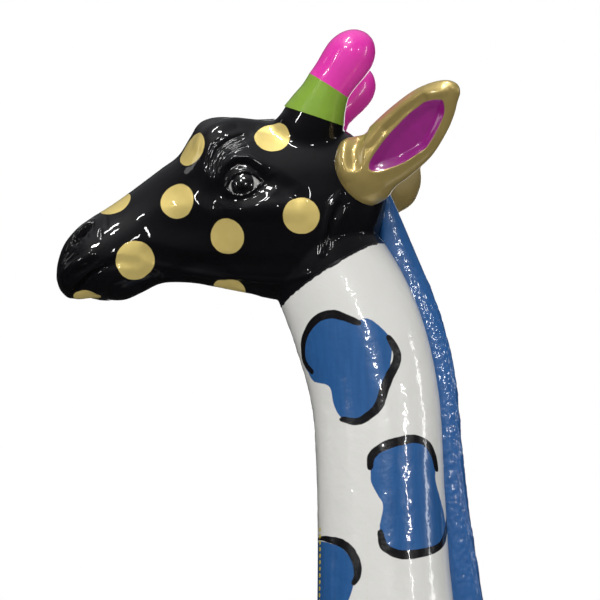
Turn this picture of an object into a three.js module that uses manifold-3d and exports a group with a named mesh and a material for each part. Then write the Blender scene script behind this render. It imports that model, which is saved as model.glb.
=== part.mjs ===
// A standing giraffe statue: a moulded, painted shell over a welded steel frame.
//
// Millimetres, +Z up. The giraffe faces -X and its left side is -Y. The origin is on the
// floor, under the middle of the statue. Every outer form is a sweep: a closed cylinder whose
// rings are moved onto a row of stations. The sweeps are joined into one skin with an even
// wall, and the skin is cut into the pieces that come out of the moulds.

import * as THREE from "three";
import { mergeVertices } from "three/addons/utils/BufferGeometryUtils.js";
import Module from "manifold-3d";

const wasm = await Module();
wasm.setup();

// ---------------------------------------------------------------- driving dimensions

const WALL = 5; // laminate of the moulded shells
const GAP = 0.3; // bond line between two pieces that touch

const LEG_LENGTH = 895; // floor to the joint between leg castings and trunk castings
const TRUNK_LENGTH = 820; // chest to rump
const NECK_LENGTH = 855; // withers to the back of the head
const HEAD_LENGTH = 380; // lips to the back of the skull

const HEAD = { x: -356, z: 2125, tilt: 14.7 }; // tip of the lips, and how far the nose drops
const EYE = { along: 217, up: 33, out: 53, radius: 17 };
const OSSICONE = { along: 305, up: 84, lean: 34, splay: 14, length: 118, radius: 26 };
const OSSICONE_FLARE = 1.26; // how much wider its foot is than its shaft
const OSSICONE_APART = 1.2; // from the middle to the edge of its foot
const OSSICONE_SUNK = 16; // how deep its foot is below the top of the head
const EAR_ROOT = { along: 345, up: 14, out: 46 };
const EAR_LENGTH = 146; // from the middle of the root to the tip
const EAR_WIDTH = 74;
const LEFT_EAR = { back: 54, lift: 30, face: [0, -1, -0.1] }; // swung back
const RIGHT_EAR = { back: 30, lift: 30, face: [-0.25, 1, -0.1] }; // standing out
const PEG = { radius: 4, length: 56, into: 26 }; // dowels of the ears, horns and tail

const LEG_SPREAD = 92; // from the middle to each leg
const HOOF_TOP = 64;
const CLEFT = { width: 5, depth: 26 }; // between the two toes
const SLEEVE = { reach: 28, wall: 4 }; // sleeves bonded inside the joints
const ROD_RADIUS = 6; // steel rod in each leg
const BAR_RADIUS = 8; // steel bars of the trunk and neck
const BAR_RISE = 255; // from the leg joint up to the crossbars
const CROSSBAR_REACH = 112; // from the middle to a crossbar's end
const SPINE_BAR_PAST = 34; // how far the spine bar runs past each crossbar
const PLATE = { length: 56, width: 44, thickness: 6 };
const BULKHEADS = [1560, 1840]; // places of the plywood discs up the neck
const BULKHEAD_THICKNESS = 9;
const MANE = { thickness: 26, sink: 9 };

// The tables below are drawn for these sizes. A longer leg, trunk or neck stretches only its
// own span, between these two places, and carries along all that lies beyond.
const DRAWN = { leg: 895, trunk: 820, neck: 855, head: 380, ear: 146, earWidth: 74 };
const SPAN = { leg: [130, 860], trunk: [150, 480], neck: [1500, 2000] };

// Stations are [x, z, half size up, half size sideways]. A ring of the neck stands across the
// neck, and its "up" is the giraffe's front. A leg's rings lie flat, and their "up" is too.
const NECK = [
  [110, 1255, 120, 105],
  [88, 1345, 150, 112],
  [55, 1450, 126, 92],
  [24, 1560, 99, 72],
  [6, 1670, 82, 60],
  [-1, 1766, 73, 55],
  [-4, 1868, 70, 52],
  [-11, 1981, 69, 51],
  [-33, 2066, 69, 52],
  [-66, 2142, 64, 51],
  [-98, 2200, 50, 44],
];
const TRUNK = [
  [-92, 1180, 40, 34],
  [-80, 1180, 104, 72],
  [-50, 1176, 158, 104],
  [10, 1172, 214, 136],
  [100, 1172, 246, 156],
  [220, 1160, 238, 166],
  [350, 1144, 212, 170],
  [480, 1132, 184, 167],
  [590, 1126, 156, 156],
  [665, 1124, 122, 130],
  [712, 1124, 76, 88],
  [728, 1124, 30, 38],
];
const FRONT_LEG = [
  [62, 1230, 92, 30],
  [52, 1120, 92, 48],
  [48, 1010, 74, 50],
  [46, 920, 54, 42],
  [45, 820, 42, 35],
  [43, 700, 35, 30],
  [40, 600, 31, 28],
  [37, 535, 36, 33],
  [37, 500, 35, 32],
  [40, 440, 26, 25],
  [43, 300, 21.5, 21],
  [44, 170, 21.5, 21],
  [43, 118, 28, 26],
  [36, 84, 25, 25],
  [32, 40, 31, 28],
];
const HIND_LEG = [
  [604, 1200, 56, 18],
  [608, 1120, 96, 52],
  [606, 1030, 96, 59],
  [598, 930, 74, 50],
  [596, 840, 54, 41],
  [608, 740, 40, 34],
  [628, 650, 33, 29],
  [640, 580, 36, 31],
  [638, 525, 33, 29],
  [630, 440, 24, 24],
  [622, 300, 22, 21],
  [616, 170, 22, 21],
  [613, 118, 28, 26],
  [605, 84, 25, 25],
  [600, 40, 31, 28],
];
// Hoof stations are set out from the foot of the leg, and run past both ends of the hoof.
const HOOF = [
  [3, HOOF_TOP + 14, 26, 25],
  [2, HOOF_TOP - 8, 30, 28],
  [-3, 32, 37, 33],
  [-8, 8, 43, 37],
  [-10, -12, 45, 37],
];

// Head rings stand across the head's own axis: [along, top, bottom, half width, bias], where a
// bias above 0 makes the ring wider at the top.
const SKULL = [
  [-6, -2, -16, 12, 0],
  [0, 14, -26, 26, 0],
  [12, 32, -31, 36, 0],
  [30, 46, -34, 42, -0.05],
  [48, 54, -42, 43, -0.08],
  [63, 59, -45, 42, -0.08],
  [82, 66, -42, 39, -0.06],
  [106, 76, -38, 37, 0],
  [136, 89, -46, 40, 0.05],
  [158, 98, -56, 47, 0.1],
  [176, 115, -65, 55, 0.14],
  [190, 128, -72, 61, 0.15],
  [208, 130, -82, 66, 0.12],
  [230, 124, -92, 68, 0.1],
  [256, 115, -98, 67, 0.06],
  [288, 108, -94, 64, 0.04],
  [320, 96, -78, 60, 0],
  [348, 74, -54, 52, 0],
  [366, 44, -22, 38, 0],
  [374, 18, 4, 16, 0],
];

// Ear stations: [from the root's middle, half width, half thickness].
const EAR = [
  [-30, 5, 5],
  [-24, 24, 20],
  [-8, 35, 29],
  [12, 37, 26],
  [38, 35, 18],
  [68, 34.5, 14],
  [98, 32, 11],
  [122, 23, 8],
  [138, 10, 5],
  [146, 3, 2.5],
];
const EAR_HOLLOW = [
  [14, 2, 2],
  [24, 9, 8],
  [50, 16, 12],
  [84, 19, 12],
  [110, 14, 9],
  [128, 4, 3],
];
const EAR_HOLLOW_LIFT = 13; // from the ear's middle to the hollow's

// The mane's outer edge, and how far it stands proud there: [x, z, height].
const MANE_RIDGE = [
  [2, 2228, 2],
  [20, 2186, 15],
  [35, 2146, 25],
  [54, 2093, 27],
  [68, 2036, 24],
  [77, 1984, 21],
  [86, 1900, 22],
  [96, 1815, 26],
  [116, 1690, 31],
  [149, 1570, 33],
  [202, 1480, 29],
  [252, 1404, 15],
  [288, 1366, -4],
];

const TAIL = [
  [690, 1228, 16, 16],
  [728, 1210, 15, 15],
  [752, 1165, 12, 12],
  [762, 1080, 10, 10],
  [762, 980, 9, 9],
  [760, 900, 8.5, 8.5],
];
const TUFT = [
  [760, 945, 10.5, 10.5],
  [762, 905, 20, 18],
  [764, 850, 26, 23],
  [765, 790, 23, 20],
  [764, 735, 13, 12],
  [762, 706, 3, 3],
];

// ---------------------------------------------------------------- paints and metals

function finish(name, color, roughness, metalness = 0) {
  const material = new THREE.MeshStandardMaterial({ color, roughness, metalness });
  material.name = name;
  return material;
}

const FINISH = {
  white: finish("white lacquer", 0xd9d8d3, 0.12),
  black: finish("black lacquer", 0x0e0d10, 0.1),
  gold: finish("gold lacquer", 0xb59a54, 0.28, 0.7),
  pink: finish("pink lacquer", 0xd938a6, 0.14),
  blue: finish("blue lacquer", 0x2b5a93, 0.14),
  laminate: finish("bare laminate", 0xb9b48f, 0.6),
  steel: finish("mild steel", 0x6f7276, 0.5, 1),
  plywood: finish("birch plywood", 0xb58f60, 0.8),
};

// ---------------------------------------------------------------- making shapes

function toSolid(points, triangles) {
  const mesh = new wasm.Mesh({ numProp: 3, vertProperties: points, triVerts: triangles });
  return new wasm.Manifold(mesh);
}

function solidOf(geometry) {
  const bare = geometry.clone();
  bare.deleteAttribute("normal");
  bare.deleteAttribute("uv");
  const merged = mergeVertices(bare, 1e-4);
  return toSolid(merged.getAttribute("position").array, new Uint32Array(merged.index.array));
}

function geometryOf(solid) {
  const { numProp, vertProperties, triVerts } = solid.getMesh();
  const points = new Float32Array((vertProperties.length / numProp) * 3);
  for (let i = 0; i < points.length / 3; i++) {
    points.set(vertProperties.subarray(i * numProp, i * numProp + 3), i * 3);
  }
  const geometry = new THREE.BufferGeometry();
  geometry.setAttribute("position", new THREE.BufferAttribute(points, 3));
  geometry.setIndex(new THREE.BufferAttribute(triVerts, 1));
  return geometry;
}

// The mirror image across the giraffe's middle. Reading the corners backwards turns each face
// the right way out again.
function mirrored(solid) {
  const geometry = geometryOf(solid).scale(1, -1, 1);
  return toSolid(geometry.getAttribute("position").array, geometry.index.array.toReversed());
}

function meshOf(name, solid, material) {
  const geometry = geometryOf(solid);
  geometry.computeVertexNormals();
  const mesh = new THREE.Mesh(geometry, material);
  mesh.name = name;
  return mesh;
}

// A closed skin through a row of stations {centre, up, side, bias}. Its rings stand across the
// line of centres, or across `across` with their top towards `upwards`. `grow` moves the skin
// and its two ends outwards by that much.
function sweep(stations, options = {}) {
  const { around = 20, rings = 2 * stations.length, across, upwards, grow = 0 } = options;
  const line = new THREE.CatmullRomCurve3(stations.map((s) => s.centre));
  const last = stations.length - 1;
  const sizes = new THREE.CubicInterpolant(
    stations.map((_, i) => i / last),
    stations.flatMap((s) => [s.up, s.side, s.bias ?? 0]),
    3,
  );
  const geometry = new THREE.CylinderGeometry(1, 1, 1, around, rings);
  const position = geometry.getAttribute("position");
  for (let i = 0; i < position.count; i++) {
    const share = THREE.MathUtils.clamp(position.getY(i) + 0.5, 0, 1);
    const [up, side, bias] = sizes.evaluate(share);
    const tangent = across ?? line.getTangent(share);
    const top = upwards ?? new THREE.Vector3(-tangent.z, 0, tangent.x).normalize();
    const sideways = new THREE.Vector3().crossVectors(tangent, top);
    const height = position.getZ(i);
    const width = position.getX(i) * (1 + bias * height);
    const point = line
      .getPoint(share)
      .addScaledVector(line.getTangent(share), grow * (2 * share - 1))
      .addScaledVector(top, height * Math.max(up + grow, 1))
      .addScaledVector(sideways, width * Math.max(side + grow, 1));
    position.setXYZ(i, point.x, point.y, point.z);
  }
  return solidOf(geometry);
}

// Where a place in the tables comes to lie, with the sizes asked for.
function place(x, z, y = 0) {
  const stretch = (value, [from, to], extra) =>
    value + extra * THREE.MathUtils.clamp((value - from) / (to - from), 0, 1);
  const raised = stretch(z, SPAN.neck, NECK_LENGTH - DRAWN.neck);
  return new THREE.Vector3(
    stretch(x, SPAN.trunk, TRUNK_LENGTH - DRAWN.trunk),
    y,
    raised - z + stretch(z, SPAN.leg, LEG_LENGTH - DRAWN.leg),
  );
}

function upright(rows, y = 0) {
  return rows.map(([x, z, up, side]) => ({ centre: place(x, z, y), up, side }));
}

// A straight round bar from one point to another.
function bar(from, to, radius, sides = 12) {
  const span = new THREE.Vector3().subVectors(to, from);
  const geometry = new THREE.CylinderGeometry(radius, radius, span.length(), sides);
  const way = span.clone().normalize();
  geometry.applyQuaternion(new THREE.Quaternion().setFromUnitVectors(new THREE.Vector3(0, 1, 0), way));
  geometry.translate(...from.clone().addScaledVector(span, 0.5).toArray());
  return solidOf(geometry);
}

// A round bar bent along a smooth line of points.
function bentBar(points, radius, steps, sides = 8) {
  const section = new THREE.Shape().absarc(0, 0, radius, 0, 2 * Math.PI);
  const geometry = new THREE.ExtrudeGeometry(section, {
    extrudePath: new THREE.CatmullRomCurve3(points),
    steps,
    curveSegments: sides / 2,
  });
  return solidOf(geometry);
}

function box(length, width, height, x, y, z) {
  return solidOf(new THREE.BoxGeometry(length, width, height).translate(x, y, z));
}

function join(solids) {
  return solids.reduce((all, one) => all.add(one));
}

// Keeps the side of a plane that the normal points to.
function keep(solid, normal, point) {
  return solid.trimByPlane(normal.toArray(), normal.dot(point));
}

// ---------------------------------------------------------------- where the castings meet

const UPRIGHT = new THREE.Vector3(0, 0, 1);
const BACKWARDS = new THREE.Vector3(1, 0, 0);
const LEFTWARDS = new THREE.Vector3(0, -1, 0);

// The head meets the neck on a slanting plane, and so does the neck the trunk. Each plane runs
// from a place at the giraffe's front to one at its back, straight across its width.
function slantingPlane(front, back) {
  const along = new THREE.Vector3().subVectors(back, front).normalize();
  return { point: front, normal: new THREE.Vector3(-along.z, 0, along.x) };
}
const HEAD_JOINT = slantingPlane(place(-111, 2088), place(6, 2160));
const NECK_JOINT = slantingPlane(place(-75, 1335), place(228, 1416));

function above(solid, { point, normal }, distance = GAP / 2) {
  return keep(solid, normal, point.clone().addScaledVector(normal, distance));
}

function below(solid, { point, normal }, distance = GAP / 2) {
  return keep(solid, normal.clone().negate(), point.clone().addScaledVector(normal, -distance));
}

function over(solid, z) {
  return keep(solid, UPRIGHT, new THREE.Vector3(0, 0, z));
}

function under(solid, z) {
  return keep(solid, UPRIGHT.clone().negate(), new THREE.Vector3(0, 0, z));
}

function leftHalf(solid) {
  return keep(solid, LEFTWARDS, new THREE.Vector3(0, -GAP / 2, 0));
}

// The left side and its mirror image, so that both sides are exactly alike. They share a sliver
// at the middle, which joins them.
function evenSided(solid) {
  const half = keep(solid, LEFTWARDS, new THREE.Vector3(0, 0.05, 0));
  return half.add(mirrored(half));
}

// ---------------------------------------------------------------- the skin

// The head's own axis runs back and up from the lips.
const tilt = THREE.MathUtils.degToRad(HEAD.tilt);
const HEAD_AXIS = new THREE.Vector3(Math.cos(tilt), 0, Math.sin(tilt));
const HEAD_UP = new THREE.Vector3(-Math.sin(tilt), 0, Math.cos(tilt));

function onHead(along, up, y = 0) {
  return place(HEAD.x, HEAD.z, y)
    .addScaledVector(HEAD_AXIS, DRAWN.head + (along - DRAWN.head) * (HEAD_LENGTH / DRAWN.head))
    .addScaledVector(HEAD_UP, up);
}

const skullStations = SKULL.map(([along, top, bottom, side, bias]) => ({
  centre: onHead(along, (top + bottom) / 2),
  up: (top - bottom) / 2,
  side,
  bias,
}));

const skull = (grow) =>
  evenSided(sweep(skullStations, { around: 16, rings: 21, across: HEAD_AXIS, grow }));
const neck = (grow) => evenSided(sweep(upright(NECK), { around: 16, rings: 10, grow }));
const trunk = (grow) =>
  evenSided(sweep(upright(TRUNK), { around: 16, rings: 11, across: BACKWARDS, grow }));
const leg = (rows, grow) => {
  const stations = upright(rows, -LEG_SPREAD).reverse();
  return sweep(stations, { around: 10, rings: 13, across: UPRIGHT, grow });
};

function wholeForm(grow) {
  const legs = leg(FRONT_LEG, grow).add(leg(HIND_LEG, grow));
  return join([skull(grow), neck(grow), trunk(grow), legs, mirrored(legs)]);
}

const skin = wholeForm(0).subtract(wholeForm(-WALL));
const leftSkin = leftHalf(skin);
// What the sleeves are cut from: a thin lining just inside the wall.
const lining = wholeForm(-WALL - GAP).subtract(wholeForm(-WALL - GAP - SLEEVE.wall));

// ---------------------------------------------------------------- ears, horns and eyes

// Moves a shape that stands along +Y onto a foot and a direction.
function stand(geometry, foot, way) {
  geometry.applyQuaternion(new THREE.Quaternion().setFromUnitVectors(new THREE.Vector3(0, 1, 0), way));
  return geometry.translate(...foot.toArray());
}

function ossicone(foot, way) {
  const { radius: r, length: l } = OSSICONE;
  const outline = new THREE.SplineCurve([
    new THREE.Vector2(r * OSSICONE_FLARE, 0),
    new THREE.Vector2(r * 1.12, l * 0.17),
    new THREE.Vector2(r * 0.97, l * 0.38),
    new THREE.Vector2(r * 0.96, l * 0.6),
    new THREE.Vector2(r * 0.97, l * 0.8),
    new THREE.Vector2(r * 0.66, l * 0.955),
    new THREE.Vector2(0, l),
  ]).getPoints(10);
  const profile = [new THREE.Vector2(0, 0), ...outline.slice(0, -1), new THREE.Vector2(0, l)];
  return solidOf(stand(new THREE.LatheGeometry(profile, 14), foot, way));
}

// Which way an ear points: `back` from straight out sideways, and `lift` above level.
function earWay({ back, lift }, sideways) {
  const turn = THREE.MathUtils.degToRad(back);
  const rise = THREE.MathUtils.degToRad(lift);
  return new THREE.Vector3(
    Math.cos(rise) * Math.sin(turn),
    sideways * Math.cos(rise) * Math.cos(turn),
    Math.sin(rise),
  );
}

function earSweep(rows, foot, way, face, options) {
  const wider = EAR_WIDTH / DRAWN.earWidth;
  const stations = rows.map(([along, width, thickness]) => ({
    centre: foot.clone().addScaledVector(way, along * (EAR_LENGTH / DRAWN.ear)),
    up: thickness,
    side: width * wider,
  }));
  return sweep(stations, { ...options, across: way, upwards: face });
}

function ear(foot, way, facing) {
  const face = facing.clone().addScaledVector(way, -way.dot(facing)).normalize();
  const leaf = earSweep(EAR, foot, way, face, { around: 14, rings: 12 });
  const mouth = foot.clone().addScaledVector(face, EAR_HOLLOW_LIFT);
  return leaf.subtract(earSweep(EAR_HOLLOW, mouth, way, face, { around: 10, rings: 7 }));
}

// A peg runs from inside the shell out into the piece that it holds.
function peg(foot, way, clearance = 0) {
  const inner = foot.clone().addScaledVector(way, -PEG.into - clearance);
  const outer = foot.clone().addScaledVector(way, PEG.length - PEG.into + clearance);
  return bar(inner, outer, PEG.radius + clearance);
}

function eyeball(clearance = 0) {
  const centre = onHead(EYE.along, EYE.up, -EYE.out);
  const geometry = new THREE.SphereGeometry(EYE.radius + clearance, 14, 9);
  return solidOf(geometry.translate(...centre.toArray()));
}

// ---------------------------------------------------------------- mane

function maneStations() {
  const ridge = new THREE.CatmullRomCurve3(MANE_RIDGE.map(([x, z]) => place(x, z)));
  return MANE_RIDGE.map(([, , height], i) => {
    const share = i / (MANE_RIDGE.length - 1);
    const { x, z } = ridge.getTangent(share);
    const half = (height + MANE.sink) / 2;
    const centre = ridge.getPoint(share).addScaledVector(new THREE.Vector3(z, 0, -x), half);
    return { centre, up: half, side: MANE.thickness / 2 };
  });
}

// ---------------------------------------------------------------- steel frame

const BAR_HEIGHT = LEG_LENGTH + BAR_RISE; // underside of the crossbars
const SPINE_HEIGHT = BAR_HEIGHT + 3 * BAR_RADIUS + GAP; // the spine bar lies on the crossbars

// The places along the middle of a leg or the neck that lie between two heights.
function middleOf(rows, y, from, to) {
  return upright(rows, y)
    .map(({ centre }) => centre)
    .filter(({ z }) => z > from && z < to);
}

// A leg's rod stands on its foot plate and reaches up to its crossbar.
function legRod(rows, clearance = 0) {
  const points = middleOf(rows, -LEG_SPREAD, PLATE.thickness + 30, BAR_HEIGHT - 60);
  const top = points[0].clone().setZ(BAR_HEIGHT + 1);
  const foot = points.at(-1).clone().setZ(0);
  const rod = bentBar([top, ...points, foot], ROD_RADIUS + clearance, 9);
  return over(under(rod, BAR_HEIGHT - GAP), PLATE.thickness + GAP - clearance);
}

function crossbar(rows) {
  const end = place(rows[1][0], 0).setY(CROSSBAR_REACH).setZ(BAR_HEIGHT + BAR_RADIUS);
  return bar(end, end.clone().setY(-CROSSBAR_REACH), BAR_RADIUS);
}

function spineBar() {
  const front = place(FRONT_LEG[1][0], 0).setZ(SPINE_HEIGHT);
  const back = place(HIND_LEG[1][0], 0).setZ(SPINE_HEIGHT);
  front.x -= SPINE_BAR_PAST;
  back.x += SPINE_BAR_PAST;
  return bar(front, back, BAR_RADIUS);
}

// The neck's bar stands on the spine bar and ends inside the head.
function neckBar(radius) {
  const foot = SPINE_HEIGHT + BAR_RADIUS + GAP;
  const points = middleOf(NECK, 0, foot + 30, HEAD_JOINT.point.z + 32);
  const start = points[0].clone().setZ(foot - 20);
  return over(bentBar([start, ...points], radius, 10), foot);
}

// ---------------------------------------------------------------- feet

function plate(rows, clearance = 0) {
  const { length, width, thickness } = PLATE;
  const height = thickness + clearance;
  const { x } = upright(rows).at(-1).centre;
  return box(length + 2 * clearance, width + 2 * clearance, height, x, -LEG_SPREAD, height / 2);
}

function hoof(rows) {
  const ankle = upright(rows).at(-1).centre;
  const stations = HOOF.map(([forward, z, up, side]) => ({
    centre: new THREE.Vector3(ankle.x + forward, -LEG_SPREAD, z),
    up,
    side,
  })).reverse();
  const block = sweep(stations, { around: 12, rings: 5, across: UPRIGHT });
  const [forward, , toe] = HOOF.at(-2);
  const toeTip = ankle.x + forward - toe;
  const cleft = box(2 * CLEFT.depth, CLEFT.width, 3 * HOOF_TOP, toeTip, -LEG_SPREAD, 0);
  const whole = over(under(block, HOOF_TOP - GAP / 2), 0);
  return whole.subtract(join([cleft, legRod(rows, GAP), plate(rows, GAP)]));
}

// ---------------------------------------------------------------- the statue

const statue = new THREE.Group();

// Each section is a group of its own, and `add` and `addPair` put meshes in it.
function section() {
  const group = new THREE.Group();
  statue.add(group);
  const add = (name, solid, material) => group.add(meshOf(name, solid, material));
  const addPair = (name, solid, material) => {
    add(`${name}_left`, solid, material);
    add(`${name}_right`, mirrored(solid), material);
  };
  return { add, addPair };
}

function buildHead() {
  const { add, addPair } = section();
  const bareSkull = skull(GAP);

  const hornOut = OSSICONE.radius * OSSICONE_FLARE + OSSICONE_APART;
  const hornFoot = onHead(OSSICONE.along, OSSICONE.up, -hornOut);
  const lean = THREE.MathUtils.degToRad(OSSICONE.lean);
  const splay = THREE.MathUtils.degToRad(OSSICONE.splay);
  const hornWay = new THREE.Vector3(
    Math.sin(lean) * Math.cos(splay),
    -Math.sin(splay),
    Math.cos(lean) * Math.cos(splay),
  );
  const hornPegFoot = hornFoot.clone().addScaledVector(hornWay, OSSICONE_SUNK);
  const hornPegHole = peg(hornPegFoot, hornWay, GAP);
  const horn = ossicone(hornFoot, hornWay).subtract(bareSkull).subtract(hornPegHole);
  addPair("ossicone", horn, FINISH.pink);
  addPair("ossicone_peg", peg(hornPegFoot, hornWay), FINISH.steel);

  const holes = eyeball(GAP).add(hornPegHole);
  const headHoles = [holes, mirrored(holes)];
  for (const [side, sideways, pose] of [
    ["left", -1, LEFT_EAR],
    ["right", 1, RIGHT_EAR],
  ]) {
    const foot = onHead(EAR_ROOT.along, EAR_ROOT.up, sideways * EAR_ROOT.out);
    const way = earWay(pose, sideways);
    const pegHole = peg(foot, way, GAP);
    const whole = ear(foot, way, new THREE.Vector3(...pose.face));
    const fitted = whole.subtract(join([bareSkull, neck(GAP), pegHole]));
    add(`ear_${side}`, fitted, FINISH.gold);
    add(`ear_peg_${side}`, peg(foot, way), FINISH.steel);
    headHoles.push(pegHole);
  }
  add("head_shell", above(skin, HEAD_JOINT).subtract(join(headHoles)), FINISH.black);
  addPair("eye", eyeball(), FINISH.black);
}

function sleeveAt(joint) {
  return above(below(lining, joint, -SLEEVE.reach), joint, -SLEEVE.reach);
}

function buildNeck() {
  const { add, addPair } = section();
  addPair("neck_shell", above(below(leftSkin, HEAD_JOINT), NECK_JOINT), FINISH.white);
  add("head_sleeve", sleeveAt(HEAD_JOINT), FINISH.laminate);
  add("neck_sleeve", sleeveAt(NECK_JOINT), FINISH.laminate);
  add("neck_bar", neckBar(BAR_RADIUS), FINISH.steel);
  ["lower", "upper"].forEach((level, i) => {
    const { z } = place(0, BULKHEADS[i]);
    const disc = over(under(neck(-WALL - GAP), z + BULKHEAD_THICKNESS), z);
    const bored = disc.subtract(neckBar(BAR_RADIUS + GAP));
    add(`neck_bulkhead_${level}`, bored, FINISH.plywood);
  });
  const bareBack = join([skull(GAP), neck(GAP), trunk(GAP)]);
  const mane = sweep(maneStations(), { around: 10, rings: 16 });
  add("mane", mane.subtract(bareBack), FINISH.blue);
}

function buildTrunkAndTail() {
  const { add, addPair } = section();
  const [inside, root] = upright(TAIL).map(({ centre }) => centre);
  const way = new THREE.Vector3().subVectors(root, inside).normalize();
  const pegFoot = root.clone().addScaledVector(way, -PEG.into);
  const pegHole = peg(pegFoot, way, GAP);

  const trunkHalf = over(below(leftSkin, NECK_JOINT), LEG_LENGTH + GAP / 2);
  addPair("trunk_shell", trunkHalf.subtract(pegHole), FINISH.white);

  const rope = (grow) => sweep(upright(TAIL), { around: 10, rings: 12, grow });
  const tuft = sweep(upright(TUFT), { around: 12, rings: 9 });
  add("tail", rope(0).subtract(trunk(GAP)).subtract(pegHole), FINISH.white);
  add("tail_tuft", tuft.subtract(rope(GAP)), FINISH.blue);
  add("tail_peg", peg(pegFoot, way), FINISH.steel);
  add("spine_bar", spineBar(), FINISH.steel);
}

function buildLegs() {
  const { add, addPair } = section();
  const shanks = over(under(leftSkin, LEG_LENGTH - GAP / 2), HOOF_TOP + GAP / 2);
  const collars = over(
    under(leftHalf(lining), LEG_LENGTH + SLEEVE.reach),
    LEG_LENGTH - SLEEVE.reach,
  );
  const betweenLegs = place((FRONT_LEG[0][0] + HIND_LEG[0][0]) / 2, 0);
  for (const [name, rows, way] of [
    ["front", FRONT_LEG, BACKWARDS.clone().negate()],
    ["hind", HIND_LEG, BACKWARDS],
  ]) {
    addPair(`${name}_leg_shell`, keep(shanks, way, betweenLegs), FINISH.white);
    addPair(`${name}_leg_sleeve`, keep(collars, way, betweenLegs), FINISH.laminate);
    addPair(`${name}_hoof`, hoof(rows), FINISH.gold);
    addPair(`${name}_foot_plate`, plate(rows), FINISH.steel);
    addPair(`${name}_leg_rod`, legRod(rows), FINISH.steel);
    add(`${name}_crossbar`, crossbar(rows), FINISH.steel);
  }
}

buildHead();
buildNeck();
buildTrunkAndTail();
buildLegs();

// The origin is on the floor under the middle of the statue's box.
const middle = new THREE.Box3().setFromObject(statue).getCenter(new THREE.Vector3());
statue.position.set(-middle.x, -middle.y, 0);

export default statue;
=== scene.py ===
"""A standing giraffe statue, moulded in glass-fibre laminate and painted by hand.

Sizes in the tables are millimetres in the same places as the part's own tables: the giraffe
faces -X, its left side is -Y and the floor is at 0. `place` turns them into the frame's metres.
"""

import math
import random

import bmesh
import bpy
import numpy as np
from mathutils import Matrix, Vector
from mathutils.bvhtree import BVHTree


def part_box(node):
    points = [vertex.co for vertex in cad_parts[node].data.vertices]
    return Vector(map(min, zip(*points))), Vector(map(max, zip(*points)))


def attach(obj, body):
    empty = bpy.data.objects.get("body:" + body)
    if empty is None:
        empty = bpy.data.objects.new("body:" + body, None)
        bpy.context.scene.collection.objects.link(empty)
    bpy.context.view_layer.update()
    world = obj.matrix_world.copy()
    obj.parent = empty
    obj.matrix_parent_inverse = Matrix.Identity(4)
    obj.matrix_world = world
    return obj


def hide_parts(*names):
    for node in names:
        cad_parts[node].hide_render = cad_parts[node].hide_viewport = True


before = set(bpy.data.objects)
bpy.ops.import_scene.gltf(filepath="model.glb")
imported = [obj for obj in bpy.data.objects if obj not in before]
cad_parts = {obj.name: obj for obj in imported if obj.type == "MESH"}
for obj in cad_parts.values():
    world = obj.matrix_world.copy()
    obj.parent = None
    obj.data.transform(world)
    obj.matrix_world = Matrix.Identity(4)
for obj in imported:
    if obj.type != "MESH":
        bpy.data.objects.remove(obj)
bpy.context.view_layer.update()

MM = 0.001
FAR = 99.0  # millimetres, further than any painted edge is looked for

# The middle of the left front foot plate lies at x 32, y -92 in the tables.
plate_low, plate_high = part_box("front_foot_plate_left")
plate_middle = (plate_low + plate_high) / 2
ORIGIN = Vector((plate_middle.x - 32 * MM, plate_middle.y + 92 * MM, 0))


def place(x, z, y=0.0):
    return ORIGIN + Vector((x, y, z)) * MM


def put(name, data):
    """A new object in the scene."""
    made = bpy.data.objects.new(name, data)
    bpy.context.scene.collection.objects.link(made)
    return made


# ---- sizes

TILT = math.radians(14.7)
HEAD_AXIS = Vector((math.cos(TILT), 0, math.sin(TILT)))  # from the lips back along the head
HEAD_UP = Vector((-math.sin(TILT), 0, math.cos(TILT)))
LIPS = place(-356, 2125)
UPRIGHT = Vector((0, 0, 1))
BACKWARDS = Vector((1, 0, 0))
LEFTWARDS = Vector((0, -1, 0))
LEG_SPREAD = 92
LEG_JOINT = 895
HOOF_TOP = 64
HEAD_JOINT = (place(-111, 2088), place(6, 2160))
NECK_JOINT = (place(-75, 1335), place(228, 1416))

# Stations are [x, z, half size up, half size sideways].
NECK = [
    [110, 1255, 120, 105], [88, 1345, 150, 112], [55, 1450, 126, 92], [24, 1560, 99, 72],
    [6, 1670, 82, 60], [-1, 1766, 73, 55], [-4, 1868, 70, 52], [-9.5, 1981, 70.5, 51],
    [-30.5, 2066, 71.5, 52], [-65, 2142, 65, 51], [-98, 2200, 50, 44],
]
TRUNK = [
    [-92, 1180, 40, 34], [-80, 1180, 104, 72], [-50, 1176, 158, 104], [10, 1172, 214, 136],
    [100, 1172, 246, 156], [220, 1160, 238, 166], [350, 1144, 212, 170], [480, 1132, 184, 167],
    [590, 1126, 156, 156], [665, 1124, 122, 130], [712, 1124, 76, 88], [728, 1124, 30, 38],
]
FRONT_LEG = [
    [62, 1230, 92, 30], [52, 1120, 92, 48], [48, 1010, 74, 50], [46, 920, 54, 42],
    [45, 820, 42, 35], [43, 700, 35, 30], [40, 600, 31, 28], [37, 535, 36, 33], [37, 500, 35, 32],
    [40, 440, 26, 25], [43, 300, 21.5, 21], [44, 170, 21.5, 21], [43, 118, 28, 26],
    [36, 84, 25, 25], [32, 40, 31, 28],
]
HIND_LEG = [
    [604, 1200, 56, 18], [608, 1120, 96, 52], [606, 1030, 96, 59], [598, 930, 74, 50],
    [596, 840, 54, 41], [608, 740, 40, 34], [628, 650, 33, 29], [640, 580, 36, 31],
    [638, 525, 33, 29], [630, 440, 24, 24], [622, 300, 22, 21], [616, 170, 22, 21],
    [613, 118, 28, 26], [605, 84, 25, 25], [600, 40, 31, 28],
]
# Set out from the foot of the leg: [forward, z, half length, half width].
HOOF = [
    [3, 63.6, 27, 26], [1, 56, 30, 28], [-3, 32, 37, 33], [-8, 8, 43, 36.5], [-9, 2, 43.6, 37],
    [-9, 0, 42.6, 36],
]
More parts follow.
